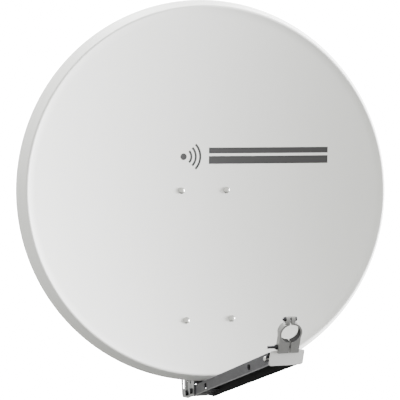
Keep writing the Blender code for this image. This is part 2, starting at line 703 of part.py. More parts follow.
def seat_outline():
    """What the arm and its cap take up, in (forward, up), with a gap all round: the arm's
    top, its end, the cap's top and the cap's face."""
    seat = on_arm(0, ARM_FRONT - 0.020, ARM_HEIGHT / 2 + GAP)
    metal_end = on_arm(0, ARM_FRONT - 0.0015, ARM_HEIGHT / 2 + GAP)
    top = CAP_TOP + GAP
    depth = CAP_SETBACK - GAP
    return [(RIM_Y - seat.y, seat.z - RIM_Z), (RIM_Y - metal_end.y, metal_end.z - RIM_Z),
            (RIM_Y - metal_end.y + 0.001, top), on_cap(depth, top),
            on_cap(depth, CAP_LOW - 0.01)]


def clamp_blank(name):
    """The clamp as one piece, without its holes: a base, a round top and two ears."""
    half = BASE_HALF_WIDTH
    outline = [(half, COLLAR_SHOULDER)] + arc((0, 0), COLLAR_OUTER, 0, 180, 24) + [
        (-half, COLLAR_SHOULDER), (-half, -COLLAR_FOOT), (half, -COLLAR_FOOT)]
    made = collar_prism(name, outline, COLLAR_HALF_LENGTH)
    root_half, root = EAR_ROOT
    ear = [(-root_half, root), (root_half, root)] + arc((0, EAR_ABOVE), EAR_RADIUS, 0, 180, 8)
    rings = [[on_collar(x, along, above) for along, above in ear]
             for x in (SLIT_TOP_X - EAR_HALF_WIDTH, SLIT_TOP_X + EAR_HALF_WIDTH)]
    return combine(made, "UNION", [add_object("ears", loft(rings))])


def make_clamp_half(name, side, parent):
    """side is 1 for the half that is screwed to the arm, -1 for the half that slides."""
    made = clamp_blank(name)
    seat = seat_outline()
    if side > 0:
        low_edge, high_edge = on_cap(CAP_SETBACK + 0.001, seat[2][1]), (seat[2][0], -0.311)
        tongue = seat[:3] + [low_edge, (low_edge[0], high_edge[1]), high_edge,
                             (seat[0][0], seat[0][1] + 0.005)]
        foot = side_prism("tongue", tongue, SLIT_LOW_X + SLIT / 2 + 0.001,
                          BASE_HALF_WIDTH - 0.001)
        combine(made, "UNION", [foot])
    low = SLIT_LOW_X + side * SLIT / 2
    top = SLIT_TOP_X + side * SLIT / 2
    far, reach = -side * 0.08, 0.03
    other = [(far, -0.08), (low, -0.08), (low, 0), (top, 0), (top, 0.06), (far, 0.06)]
    body = seat + [(seat[0][0], seat[-1][1])]
    cuts = [rod("bore", COLLAR_BORE, on_collar(0, -reach, 0), on_collar(0, reach, 0),
                BORE_SIDES),
            collar_prism("other_side", other, 2 * reach),
            side_prism("seat", body, -2 * reach, 2 * reach),
            rod("upper_hole", M5["hole"], on_collar(-2 * reach, 0, EAR_ABOVE),
                on_collar(2 * reach, 0, EAR_ABOVE)),
            rod("lower_hole", M6["hole"], at(-2 * reach, *CLAMP_SCREW),
                at(2 * reach, *CLAMP_SCREW))]
    if side > 0:
        sunk = BASE_HALF_WIDTH - SCREW_HEAD_SUNK - GAP
        cuts.append(rod("head_recess", HEAD_RECESS, at(sunk, *CLAMP_SCREW), at(0.05, *CLAMP_SCREW)))
        screw_x, screw_ahead = HOLDER_SCREW
        cuts.append(rod("screw_hole", 0.0027, on_arm(screw_x, screw_ahead, 0.0),
                        on_arm(screw_x, screw_ahead, ARM_HEIGHT / 2 + 0.02)))
    combine(made, "DIFFERENCE", cuts)
    return dress(made, "clamp_casting", parent, 30)


def make_lnb_clamp(arm_axis, slide_axis):
    make_clamp_half("lnb_clamp_fixed_half", 1, arm_axis)
    make_clamp_half("lnb_clamp_loose_half", -1, slide_axis)
    black = "fastener_black"
    under_head = BASE_HALF_WIDTH - SCREW_HEAD_SUNK
    hex_bolt("lnb_clamp_lower_screw", M6, under_head + SCREW_END,
             at(under_head, *CLAMP_SCREW), -X_AXIS, arm_axis, black)
    hex_nut("lnb_clamp_lower_nut", M6, at(-BASE_HALF_WIDTH - GAP, *CLAMP_SCREW), -X_AXIS,
            slide_axis, finish_name=black)
    right_ear = on_collar(SLIT_TOP_X + EAR_HALF_WIDTH + GAP, 0, EAR_ABOVE)
    left_ear = on_collar(SLIT_TOP_X - EAR_HALF_WIDTH - GAP, 0, EAR_ABOVE)
    end_beyond = 0.0025
    hex_bolt("lnb_clamp_upper_screw", M5, (right_ear - left_ear).length + M5["nut"]
             + end_beyond, right_ear, -X_AXIS, arm_axis, black)
    hex_nut("lnb_clamp_upper_nut", M5, left_ear, -X_AXIS, slide_axis, finish_name=black)
    screw_x, screw_ahead = HOLDER_SCREW
    seat = on_arm(screw_x, screw_ahead, ARM_HEIGHT / 2 - ARM_WALL - GAP)
    up_arm = on_arm(0, 0, 1) - on_arm(0, 0, 0)
    hex_bolt("holder_screw", {**M5, "radius": 0.0024}, 0.0065, seat, up_arm, arm_axis, black)


def main():
    for old in list(bpy.data.objects):
        bpy.data.objects.remove(old, do_unlink=True)
    elevation_axis = axis_empty("elevation_axis", at(0, *ELEVATION_PIVOT))
    arm_axis = axis_empty("arm_fold_axis", at(0, *ARM_PIVOT), elevation_axis)
    slide_axis = axis_empty("clamp_slide_axis", at(-BASE_HALF_WIDTH, *CLAMP_SCREW), arm_axis)
    jaw_axis = axis_empty("mast_jaw_axis", (0, WEB_BACK, 0))
    make_mast_bracket()
    make_mast_jaw(jaw_axis)
    make_clamp_fasteners(jaw_axis)
    make_reflector(elevation_axis)
    make_reflector_fasteners(elevation_axis)
    make_support_channel(elevation_axis)
    make_cross_strap("upper", BOLT_UP_HIGH, elevation_axis)
    make_cross_strap("lower", BOLT_UP_LOW, elevation_axis)
    make_through_bolt("elevation_pivot", *ELEVATION_PIVOT, elevation_axis)
    make_through_bolt("elevation_lock", *lock_bolt_place(), elevation_axis)
    make_feed_arm(arm_axis)
    make_arm_fasteners(elevation_axis, arm_axis)
    make_end_cap(arm_axis)
    make_lnb_clamp(arm_axis, slide_axis)


main()
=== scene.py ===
import json
import math

import bmesh
import bpy
from mathutils import Matrix, Vector


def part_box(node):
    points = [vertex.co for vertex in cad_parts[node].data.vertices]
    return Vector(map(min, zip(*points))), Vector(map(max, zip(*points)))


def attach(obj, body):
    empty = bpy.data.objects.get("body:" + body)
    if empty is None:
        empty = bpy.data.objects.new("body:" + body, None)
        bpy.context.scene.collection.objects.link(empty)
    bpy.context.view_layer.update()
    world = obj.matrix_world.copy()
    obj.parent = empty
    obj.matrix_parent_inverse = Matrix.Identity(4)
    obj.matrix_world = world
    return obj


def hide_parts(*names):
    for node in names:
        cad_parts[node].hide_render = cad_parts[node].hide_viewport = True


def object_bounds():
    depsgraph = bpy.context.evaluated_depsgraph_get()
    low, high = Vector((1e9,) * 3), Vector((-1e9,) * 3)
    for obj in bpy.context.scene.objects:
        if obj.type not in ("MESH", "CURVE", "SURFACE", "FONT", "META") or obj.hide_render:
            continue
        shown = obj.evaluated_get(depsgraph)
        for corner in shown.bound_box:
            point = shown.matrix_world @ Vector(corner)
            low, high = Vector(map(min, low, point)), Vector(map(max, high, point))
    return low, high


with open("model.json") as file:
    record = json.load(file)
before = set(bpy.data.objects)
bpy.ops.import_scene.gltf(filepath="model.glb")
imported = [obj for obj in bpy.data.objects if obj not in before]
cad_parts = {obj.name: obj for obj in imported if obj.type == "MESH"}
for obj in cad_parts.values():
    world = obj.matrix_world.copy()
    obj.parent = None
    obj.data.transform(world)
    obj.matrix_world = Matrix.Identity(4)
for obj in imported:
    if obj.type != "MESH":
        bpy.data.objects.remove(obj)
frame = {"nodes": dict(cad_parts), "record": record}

cadBox = [list(corner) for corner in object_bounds()]
scene = bpy.context.scene
slotOf = {part["node"]: part["material_slot"] for part in frame["record"]["subparts"]}
bodyOf = {node: body for body, nodes in frame["record"]["behaviour"]["bodies"].items()
          for node in nodes}
creases = {"hex": 30, "sheet": 35, "dome": 40, "reflector": 50}     # degrees that stay sharp


# Small helpers

def objectFrom(name, bm):
    mesh = bpy.data.meshes.new(name)
    bm.to_mesh(mesh)
    bm.free()
    made = bpy.data.objects.new(name, mesh)
    bpy.context.collection.objects.link(made)
    return made


def dress(piece, finish):
    piece.data.materials.clear()
    piece.data.materials.append(finish)


def standFor(piece, node, crease):   # the piece replaces a CAD node and rides where it rides
    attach(piece, bodyOf[node])
    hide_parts(node)
    dress(piece, finishOf[slotOf[node]])
    piece.data.shade_smooth()
    piece.data.set_sharp_from_angle(angle=math.radians(creases[crease]))
    return piece


def towards(azimuth, elevation):     # from the object to a place; azimuth runs from -Y to +X
    turn, lift = math.radians(azimuth), math.radians(elevation)
    return Vector((math.sin(turn) * math.cos(lift), -math.cos(turn) * math.cos(lift),
                   math.sin(lift)))


# Camera

shot = {
    "aim": (-0.02964, -0.29207, 0.11792),
    "azimuth": -15.696,
    "elevation": 1.011,
    "roll": -0.6286,
    "distance": 2.964,
    "lens": 110.2,
    "clip": (0.05, 100),
}


def makeCamera():
    back = towards(shot["azimuth"], shot["elevation"])
    side = Vector((0, 0, 1)).cross(back).normalized()
    rise = back.cross(side)
    roll = math.radians(shot["roll"])
    right = side * math.cos(roll) + rise * math.sin(roll)
    up = rise * math.cos(roll) - side * math.sin(roll)
    camera = bpy.data.objects.new("camera", bpy.data.cameras.new("camera"))
    camera.data.lens = shot["lens"]
    camera.data.clip_start, camera.data.clip_end = shot["clip"]
    place = Matrix((right, up, back)).transposed().to_4x4()
    place.translation = Vector(shot["aim"]) + back * shot["distance"]
    camera.matrix_world = place
    bpy.context.collection.objects.link(camera)
    scene.camera = camera


# Floor, backdrop and lamps

studio = {
    "floorDrop": 0.35,        # floor below the object's lowest point
    "radius": 14.0,           # of the floor and of the dome around it
    "paper": 22.0,            # how far the white paper is overexposed
    "sky": 2.12,
    "skyTint": (1.0, 1.004, 0.960),
    "skyFades": ((0.16, 0.04), (0.30, 1.0)),   # (height, share), 0.5 is level
    # name: (azimuth from the front towards +X, elevation, distance, width, watts, colour)
    "lamps": {
        "key": (82, 2, 6.0, 3.0, 4700, (0.99, 0.985, 1.0)),
        "top": (-150, 72, 4.0, 2.0, 640, (1, 1, 1)),
        "behind": (160, 25, 4.5, 2.5, 300, (1, 1, 1)),
    },
}


def makePaper():                  # a white floor and dome that are lit on their own
    paper = Finish("paper")
    paper.shade(Base_Color=(0, 0, 0), Roughness=1.0, Specular_IOR_Level=0.0,
                Emission_Color=(1, 1, 1), Emission_Strength=studio["paper"])
    disc = bmesh.new()
    bmesh.ops.create_circle(disc, cap_ends=True, segments=64, radius=studio["radius"])
    bmesh.ops.translate(disc, vec=(0, 0, cadBox[0][2] - studio["floorDrop"]), verts=disc.verts)
    dome = bmesh.new()
    bmesh.ops.create_uvsphere(dome, u_segments=48, v_segments=24, radius=studio["radius"])
    bmesh.ops.reverse_faces(dome, faces=dome.faces)
    for name, bm in (("floor", disc), ("backdrop", dome)):
        sheet = objectFrom(name, bm)
        sheet.data.materials.append(paper.material)
        sheet.visible_diffuse = False      # the paper throws no light on the object
        sheet.visible_glossy = False
        sheet.visible_shadow = False


def makeLight():
    for name, (azimuth, elevation, distance, width, watts, tint) in studio["lamps"].items():
        lamp = bpy.data.objects.new(name, bpy.data.lights.new(name, "AREA"))
        lamp.data.size = width
        lamp.data.energy = watts
        lamp.data.color = tint
        back = towards(azimuth, elevation)
        lamp.location = Vector(shot["aim"]) + back * distance
        lamp.rotation_euler = back.to_track_quat("Z", "Y").to_euler()
        bpy.context.collection.objects.link(lamp)
    scene.world = bpy.data.worlds.new("studio")
    sky = Finish("sky", scene.world)
    direction = sky.node("ShaderNodeTexCoord", output="Generated")
    height = sky.node("ShaderNodeSeparateXYZ", inputs={0: direction}, output="Z")
    sky.shade(Color=studio["skyTint"],      # little light comes up from the floor
              Strength=sky.ramp(height * 0.5 + 0.5, *studio["skyFades"]) * studio["sky"])


# Materials

class Wire:     # a shader value that Python can add, multiply and compare
    def __init__(self, maker, socket):
        self.maker = maker
        self.socket = socket

    def math(self, operation, first, second=None):
        return self.maker.node("ShaderNodeMath", {"operation": operation},
                               {0: first, 1: second})

    def __add__(self, other): return self.math("ADD", self, other)
    def __radd__(self, other): return self.math("ADD", other, self)
    def __sub__(self, other): return self.math("SUBTRACT", self, other)
    def __rsub__(self, other): return self.math("SUBTRACT", other, self)
    def __mul__(self, other): return self.math("MULTIPLY", self, other)
    def __rmul__(self, other): return self.math("MULTIPLY", other, self)
    def __truediv__(self, other): return self.math("DIVIDE", self, other)
    def __abs__(self): return self.math("ABSOLUTE", self)
    def root(self): return self.math("SQRT", self)
    def lower(self, other): return self.math("MINIMUM", self, other)
    def upper(self, other): return self.math("MAXIMUM", self, other)
    def clip(self): return self.upper(0.0).lower(1.0)


class Finish:   # one material and the nodes that feed its shader
    def __init__(self, name, world=None):
        self.material = world or bpy.data.materials.new(name)
        self.material.use_nodes = True
        self.tree = self.material.node_tree
        self.shader = self.tree.nodes["Background" if world else "Principled BSDF"]

    def put(self, socket, value):
        if isinstance(value, Wire):
            self.tree.links.new(value.socket, socket)
        elif value is not None:
            wide = hasattr(socket.default_value, "__len__")
            if wide and len(socket.default_value) == 4 and len(value) == 3:
                value = (*value, 1)
            socket.default_value = value

    def node(self, kind, settings=None, inputs=None, output=0):
        made = self.tree.nodes.new(kind)
        for key, value in (settings or {}).items():
            if key == "stops":
                ramp = made.color_ramp.elements
                while len(ramp) < len(value):
                    ramp.new(0.5)
                for stop, (place, shade) in zip(ramp, value):
                    stop.position = place
                    stop.color = (shade, shade, shade, 1)
            else:
                setattr(made, key, value)
        for key, value in (inputs or {}).items():
            self.put(made.inputs[key], value)
        return Wire(self, made.outputs[output])

    def axes(self, output="Object"):
        place = self.node("ShaderNodeTexCoord", output=output)
        split = self.node("ShaderNodeSeparateXYZ", inputs={0: place})
        return [Wire(self, split.socket.node.outputs[i]) for i in range(3)]

    def noise(self, scale, detail=2.0, rough=0.5, stretch=None):
        where = self.node("ShaderNodeTexCoord", output="Object")
        if stretch:
            where = self.node("ShaderNodeVectorMath", {"operation": "MULTIPLY"},
                              {0: where, 1: stretch})
        return self.node("ShaderNodeTexNoise", inputs={
            "Vector": where, "Scale": scale, "Detail": detail, "Roughness": rough})

    def cells(self, scale, output="Distance", feature="F1"):
        where = self.node("ShaderNodeTexCoord", output="Object")
        return self.node("ShaderNodeTexVoronoi", {"feature": feature},
                         {"Vector": where, "Scale": scale}, output)

    def ramp(self, value, *stops):
        return self.node("ShaderNodeValToRGB", {"stops": stops}, {0: value})

    def mix(self, amount, first, second):
        return self.node("ShaderNodeMix", {"data_type": "RGBA"},
                         {0: amount, 6: first, 7: second}, output=2)

    def bump(self, height, distance, strength):
        return self.node("ShaderNodeBump", inputs={
            "Height": height, "Distance": distance, "Strength": strength})

    def shade(self, **inputs):
        for key, value in inputs.items():
            self.put(self.shader.inputs[key.replace("_", " ")], value)
        return self.material


coat = {
    "colour": (0.555, 0.558, 0.548),
    "dusty": (0.500, 0.500, 0.480),
    "ink": (0.009, 0.009, 0.010),
    "rough": 0.40,
    "cloudScale": 3.2,
    "speckScale": 310.0,
    "streaks": (9.0, (6.0, 1.0, 0.7)),         # scale and stretch: rain marks run down
    "dustStops": ((0.38, 0.0), (0.72, 1.0)),
    "dustShare": 0.30,
    "peelScale": 520.0,       # orange peel of the powder coat, about 2 mm from crest to crest
    "peelHeight": 0.00010,
    # the printed sign: a dot with three arcs and two bars, centred on (x, z)
    "sign": (0.1270, 0.2240),
    "dotAt": -0.180,
    "dotRadius": 0.0085,
    "arcs": (0.0200, 0.0315, 0.0430),
    "arcWidth": 0.0060,
    # (left, right, height, half thickness)
    "bars": ((-0.115, 0.186, 0.0150, 0.0075), (-0.115, 0.186, -0.0085, 0.0100)),
    "edge": 0.0004,           # softness of the print's outline
    "frontOnly": -4.0,        # fades the print out where the sheet stops looking to -Y
}


def signMask(finish):
    x, _, z = finish.axes()
    middleX, middleZ = coat["sign"]
    right, up = x - middleX, z - middleZ
    fromDot = right - coat["dotAt"]
    radius = (fromDot * fromDot + up * up).root()
    mask = ((coat["dotRadius"] - radius) / coat["edge"]).clip()
    wedge = ((fromDot - abs(up)) / coat["edge"]).clip()      # arcs open to the right
    for arc in coat["arcs"]:
        band = ((coat["arcWidth"] / 2 - abs(radius - arc)) / coat["edge"]).clip()
        mask = mask.upper(band * wedge)
    for low, high, height, half in coat["bars"]:
        across = ((half - abs(up - height)) / coat["edge"]).clip()
        along = (((high - low) / 2 - abs(right - (low + high) / 2)) / coat["edge"]).clip()
        mask = mask.upper(across * along)
    facing = finish.axes("Normal")[1]
    return mask * (facing * coat["frontOnly"]).clip()


def coatMaterial():
    finish = Finish("powderCoat")
    cloud = finish.noise(coat["cloudScale"], 3.0, 0.55)
    speck = finish.noise(coat["speckScale"], 2.0, 0.6)
    peel = finish.noise(coat["peelScale"], 1.5, 0.45)
    scale, stretch = coat["streaks"]
    streaks = finish.noise(scale, 3.0, 0.6, stretch)
    dust = finish.ramp(cloud * 0.45 + streaks * 0.35 + speck * 0.2, *coat["dustStops"])
    tint = finish.mix(dust * coat["dustShare"], coat["colour"], coat["dusty"])
    ink = signMask(finish)
    return finish.shade(
        Base_Color=finish.mix(ink, tint, coat["ink"]),
        Roughness=coat["rough"] + (cloud - 0.5) * 0.10 + ink * 0.10 + speck * 0.03,
        Normal=finish.bump(peel, coat["peelHeight"], 0.30),
        Specular_IOR_Level=0.5)


arm = {
    "pivot": (-0.222, -0.3568),      # (y, z) of the fold axis
    "slope": 15.4,
    "halfWidth": 0.0340,
    "innerHalf": 0.0325,      # the walls' inner faces lie inside this half width
    "innerTop": 0.0112,       # and below this height over the arm's middle line
    # the two bends between the top and the side walls
    "bendRadius": 0.0032,
    "bendSegments": 4,
    "bendAngle": 40,
    "longest": 0.3,           # they are longer than this
    "topEdges": -0.280,       # and their middles lie above this height
    "slack": 0.0001,
}

armPaint = {
    "dark": (0.017, 0.017, 0.021),
    "light": (0.025, 0.025, 0.029),
    "scuffed": (0.07, 0.07, 0.072),
    # painted highlight: a lighter line along the lower edge of the side walls
    "edgeHighlight": (0.100, 0.100, 0.106),
    "edgeHighlightBelow": -0.0102,   # the lower edge, as a height over the arm's middle line
    "edgeHighlightSoft": 0.0010,
    "wear": (38.0, (1.0, 0.35, 1.0)),          # scale and stretch along the arm
    "scuffs": (520.0, (1.0, 0.10, 1.0)),
    "scuffStops": ((0.60, 0.0), (0.74, 1.0)),
    "grainScale": 1400.0,
    "rough": 0.50,
}

armPaintedShade = {                  # painted shade: the inside of the arm's channel is coloured near black, mottled, to stand in for the shade in it
    "dark": (0.0055, 0.0055, 0.0060),
    "light": (0.0125, 0.0125, 0.0130),
    "shadeMottle": (60.0, (1.0, 0.3, 1.0)),
    "grainScale": 900.0,
    "rough": 0.80,
}


def overArm(y, z):                # height over the arm's middle line
    slope = math.radians(arm["slope"])
    return ((z - arm["pivot"][1]) * math.cos(slope)
            + (y - arm["pivot"][0]) * math.sin(slope))


# painted shade for the arm's inner faces
def armInsideShadeMaterial():
    finish = Finish("armInsidePaintedShade")
    scale, stretch = armPaintedShade["shadeMottle"]
    shadeMottle = finish.noise(scale, 4.0, 0.65, stretch)
    grain = finish.noise(armPaintedShade["grainScale"], 1.0, 0.5)
    return finish.shade(Base_Color=finish.mix(shadeMottle, armPaintedShade["dark"], armPaintedShade["light"]),
                        Roughness=armPaintedShade["rough"] + grain * 0.1,
                        Specular_IOR_Level=0.12, Normal=finish.bump(grain, 0.00008, 0.4))


def paintMaterial():
    finish = Finish("armPaint")
    _, y, z = finish.axes()
    # painted highlight: the mask of the side walls' lower edge
    rim = ((armPaint["edgeHighlightBelow"] - overArm(y, z)) / armPaint["edgeHighlightSoft"]).clip()
    scale, stretch = armPaint["wear"]
    wear = finish.noise(scale, 4.0, 0.6, stretch)
    scale, stretch = armPaint["scuffs"]
    marks = finish.ramp(finish.noise(scale, 3.0, 0.7, stretch), *armPaint["scuffStops"])
    grain = finish.noise(armPaint["grainScale"], 1.0, 0.5)
    tint = finish.mix(wear * 0.6, armPaint["dark"], armPaint["light"])
    tint = finish.mix(marks * 0.16, tint, armPaint["scuffed"])
    # the painted highlight on the lower edge, made patchy by the wear noise
    tint = finish.mix(rim * (0.45 + wear * 0.4), tint, armPaint["edgeHighlight"])
    return finish.shade(Base_Color=tint,
                        Roughness=armPaint["rough"] + wear * 0.12 - marks * 0.05,
                        Specular_IOR_Level=0.16, Normal=finish.bump(grain, 0.00006, 0.35))


galvanised = {
    # painted shade: both zinc tones are kept far darker than bare zinc, to stand in for the
    # shade these parts sit in
    "dark": (0.040, 0.041, 0.043),
    "light": (0.092, 0.093, 0.096),
    "seam": (0.036, 0.037, 0.039),             # between the zinc's flakes
    "whiteRust": (0.17, 0.17, 0.165),
    "flakeScale": 95.0,
    "cloudScale": 24.0,
    "rustScale": 60.0,
    "rustStops": ((0.55, 0.0), (0.75, 1.0)),
    "rough": 0.30,
}


def galvanisedMaterial():
    finish = Finish("galvanised")
    flake = finish.cells(galvanised["flakeScale"], "Color")
    shine = finish.node("ShaderNodeSeparateColor", inputs={0: flake})
    border = finish.cells(galvanised["flakeScale"], feature="DISTANCE_TO_EDGE")
    seam = 1 - finish.ramp(border, (0.0, 0.0), (0.10, 1.0))
    cloud = finish.noise(galvanised["cloudScale"], 3.0, 0.6)
    rust = finish.ramp(finish.noise(galvanised["rustScale"], 4.0, 0.65),
                       *galvanised["rustStops"])
    # the dark zinc tones carry painted shade
    tint = finish.mix(shine * 0.55 + cloud * 0.45, galvanised["dark"], galvanised["light"])
    tint = finish.mix(seam * 0.25, tint, galvanised["seam"])
    tint = finish.mix(rust * 0.22, tint, galvanised["whiteRust"])
    return finish.shade(Base_Color=tint,
                        Roughness=galvanised["rough"] + shine * 0.18 + rust * 0.20,
                        Metallic=0.9 - rust * 0.35,
                        Normal=finish.bump(shine * 0.5 + cloud, 0.00012, 0.35))


plating = {
    # slot: (name, dark, light, roughness)
    "fastener_zinc": ("zincPlate", (0.34, 0.35, 0.36), (0.46, 0.45, 0.41), 0.20),
    "fastener_black": ("blackZinc", (0.035, 0.035, 0.038), (0.060, 0.060, 0.066), 0.26),
}


def platedMaterial(slot):
    name, dark, light, rough = plating[slot]
    finish = Finish(name)
    film = finish.noise(170.0, 2.0, 0.5)
    scratch = finish.noise(2200.0, 2.0, 0.7)
    return finish.shade(Base_Color=finish.mix(film, dark, light),
                        Roughness=rough + scratch * 0.14, Metallic=0.95,
                        Normal=finish.bump(scratch, 0.00003, 0.4))


moulding = {
    "dark": (0.38, 0.38, 0.38),
    "light": (0.42, 0.42, 0.415),
    "grime": (0.30, 0.30, 0.29),
    "grainScale": 1700.0,
    "cloudScale": 40.0,
    "grimeScale": 120.0,
    "grimeStops": ((0.58, 0.0), (0.80, 1.0)),
    "rough": 0.44,
}


def plasticMaterial():
    finish = Finish("capPlastic")
    grain = finish.noise(moulding["grainScale"], 2.0, 0.6)
    cloud = finish.noise(moulding["cloudScale"], 2.0, 0.5)
    grime = finish.ramp(finish.noise(moulding["grimeScale"], 4.0, 0.7),
                        *moulding["grimeStops"])
    tint = finish.mix(cloud, moulding["dark"], moulding["light"])
    tint = finish.mix(grime * 0.2, tint, moulding["grime"])
    return finish.shade(Base_Color=tint, Roughness=moulding["rough"] + grain * 0.12,
                        Normal=finish.bump(grain, 0.00005, 0.5))


casting = {
    "dark": (0.120, 0.120, 0.118),
    "light": (0.170, 0.170, 0.166),
    "grainScale": 1100.0,
    "pitScale": 420.0,
    "pitStops": ((0.02, 0.0), (0.16, 1.0)),
    "cloudScale": 70.0,
    "rough": 0.42,
}

boreShade = {                    # painted shade: the wall of the clamp's bore is coloured near black to stand in for the shade inside the bore
    "centre": (-0.840, -0.139),      # (y, z) of the bore's axis
    "tilt": 23,
    "reach": 0.0203,          # the bore's wall lies inside this radius
    "dark": (0.008, 0.008, 0.008),
    "light": (0.020, 0.020, 0.020),
    "grainScale": 800.0,
    "rough": 0.85,
}


def castMaterial():
    finish = Finish("castAlloy")
    grain = finish.noise(casting["grainScale"], 3.0, 0.65)
    pits = finish.ramp(finish.cells(casting["pitScale"]), *casting["pitStops"])
    cloud = finish.noise(casting["cloudScale"], 3.0, 0.55)
    tint = finish.mix(cloud * 0.7 + grain * 0.3, casting["dark"], casting["light"])
    return finish.shade(Base_Color=tint, Roughness=casting["rough"] + grain * 0.18,
                        Metallic=0.55,
                        Normal=finish.bump(grain * 0.7 + pits * 0.3, 0.00012, 0.5))


# painted shade for the wall of the clamp's bore
def boreShadeMaterial():
    finish = Finish("borePaintedShade")
    grain = finish.noise(boreShade["grainScale"], 3.0, 0.6)
    return finish.shade(Base_Color=finish.mix(grain, boreShade["dark"], boreShade["light"]),
                        Roughness=boreShade["rough"] + grain * 0.1,
                        Specular_IOR_Level=0.10, Normal=finish.bump(grain, 0.0001, 0.5))


# Reflector: one pressed sheet, a bowl with a rolled edge, a flared skirt and a hem

bowl = {
    "halfWidth": 0.450,
    "halfHeight": 0.447,
    "depth": 0.075,
    "shift": 0.03577,         # the oblique cut moves the deepest point down
    "edgeRoll": 0.006,
    "setBack": 0.0015,        # the bowl starts behind the front of its rolled edge
    "sheet": 0.0012,
    "rimY": -0.300,
    "rimZ": 0.140,
    "segments": 288,
    "rings": 30,
    # (outward, forward) along the middle of the rolled edge, the skirt and its hem
    "edge": ((-0.0044, -0.0011), (-0.0030, -0.0006), (-0.0014, -0.0005), (0.0002, -0.0009),
             (0.0014, -0.0020), (0.0024, -0.0038), (0.0030, -0.0056),
             (0.0105, -0.0205), (0.0174, -0.0345), (0.0182, -0.0366), (0.0190, -0.0382),
             (0.0192, -0.0396), (0.0186, -0.0407), (0.0172, -0.0409), (0.0150, -0.0400)),
}


def bowlPoint(s, t):              # s and t run from -1 to 1 across the rim
    rise = 1 - s * s - t * t
    return Vector(((bowl["halfWidth"] - bowl["edgeRoll"]) * s,
                   bowl["rimY"] + bowl["setBack"] + bowl["depth"] * rise,
                   bowl["rimZ"] + (bowl["halfHeight"] - bowl["edgeRoll"]) * t
                   - bowl["shift"] * rise))


def bowlNormal(s, t):
    step = 1e-4
    alongS = bowlPoint(s + step, t) - bowlPoint(s - step, t)
    alongT = bowlPoint(s, t + step) - bowlPoint(s, t - step)
    return alongS.cross(alongT).normalized()


def bowlAt(x, up):                # front surface and its normal at a place on the rim plane
    rounds = 20
    s = x / (bowl["halfWidth"] - bowl["edgeRoll"])
    t = up / bowl["halfHeight"]
    for _ in range(rounds):
        t += (up - (bowlPoint(s, t).z - bowl["rimZ"])) / bowl["halfHeight"]
    return bowlPoint(s, t), bowlNormal(s, t)


def extrudeRing(bm, edges):       # the open ring's edges grow one more row
    grown = bmesh.ops.extrude_edge_only(bm, edges=edges)["geom"]
    return ([part for part in grown if isinstance(part, bmesh.types.BMEdge)],
            [part for part in grown if isinstance(part, bmesh.types.BMVert)])


def makeReflector():
    bm = bmesh.new()
    bmesh.ops.create_circle(bm, cap_ends=False, segments=bowl["segments"], radius=1)
    rim = list(bm.edges)
    edges, reach = rim, 1.0
    for i in range(1, bowl["rings"]):
        target = 1 - i / bowl["rings"]
        edges, verts = extrudeRing(bm, edges)
        bmesh.ops.scale(bm, vec=(target / reach, target / reach, 1), verts=verts)
        reach = target
    bmesh.ops.holes_fill(bm, edges=edges, sides=0)
    middle = bmesh.ops.poke(bm, faces=[face for face in bm.faces if len(face.verts) > 4])
    for vert in middle["verts"]:
        vert.co = (0, 0, 0)
    for vert in bm.verts:         # the flat disc becomes the bowl
        s, t = vert.co.x, vert.co.y
        vert.co = bowlPoint(s, t) - bowlNormal(s, t) * bowl["sheet"] / 2
    edges = rim
    for outward, forward in bowl["edge"]:
        edges, verts = extrudeRing(bm, edges)
        for vert in verts:
            turn = math.atan2((vert.co.z - bowl["rimZ"]) / bowl["halfHeight"],
                              vert.co.x / bowl["halfWidth"])
            vert.co = ((bowl["halfWidth"] + outward) * math.cos(turn),
                       bowl["rimY"] - forward,
                       bowl["rimZ"] + (bowl["halfHeight"] + outward) * math.sin(turn))
    bmesh.ops.recalc_face_normals(bm, faces=bm.faces)
    piece = objectFrom("reflectorSheet", bm)
    nearMiddle = min(piece.data.polygons, key=lambda face: face.center.x ** 2
                     + (face.center.z - bowl["rimZ"]) ** 2)
    if nearMiddle.normal.y > 0:
        piece.data.flip_normals()         # the front of the bowl is its outside
    wall = piece.modifiers.new("sheet", "SOLIDIFY")
    wall.thickness = bowl["sheet"]
    wall.offset = 0
    wall.use_rim = True
    standFor(piece, "reflector", "reflector")


# Fasteners: every shape starts under its head, at the origin, and runs along +Z

thread = {
    "pitch": 0.00115,
    "depth": 0.00042,
    "sides": 28,
    "runOut": 0.0012,         # the last turn ends this far before the tip
    "point": 0.0007,          # the tip is this much thinner
    "buried": 0.0006,         # the shank starts inside the head
}

hexShape = {"face": 0.94, "chamfer": 28, "sides": 48}      # flat face's share, slope in degrees

roundSides = 40


def spun(profile, closed=False, sides=thread["sides"]):
    bm = bmesh.new()
    verts = [bm.verts.new((radius, 0, height)) for radius, height in profile]
    pairs = list(zip(verts, verts[1:])) + ([(verts[-1], verts[0])] if closed else [])
    edges = [bm.edges.new(pair) for pair in pairs]
    bmesh.ops.spin(bm, geom=verts + edges, cent=(0, 0, 0), axis=(0, 0, 1), dvec=(0, 0, 0),
                   angle=2 * math.pi, steps=sides, use_merge=True, use_duplicate=False)
    bmesh.ops.remove_doubles(bm, verts=bm.verts, dist=1e-7)
    bmesh.ops.recalc_face_normals(bm, faces=bm.faces)
    return bm


def join(bm, other):              # adds a second closed shape to a bmesh
    mesh = bpy.data.meshes.new("part")
    other.to_mesh(mesh)
    other.free()
    bm.from_mesh(mesh)
    bpy.data.meshes.remove(mesh)
    return bm


def shank(radius, length, threaded):
    at = length - threaded
    profile = [(0, -thread["buried"]), (radius, -thread["buried"]), (radius, at)]
    while at < length - thread["runOut"]:
        profile += [(radius - thread["depth"], at + thread["pitch"] * 0.5),
                    (radius, at + thread["pitch"])]
        at += thread["pitch"]
    return spun(profile + [(radius - thread["point"], length), (0, length)])


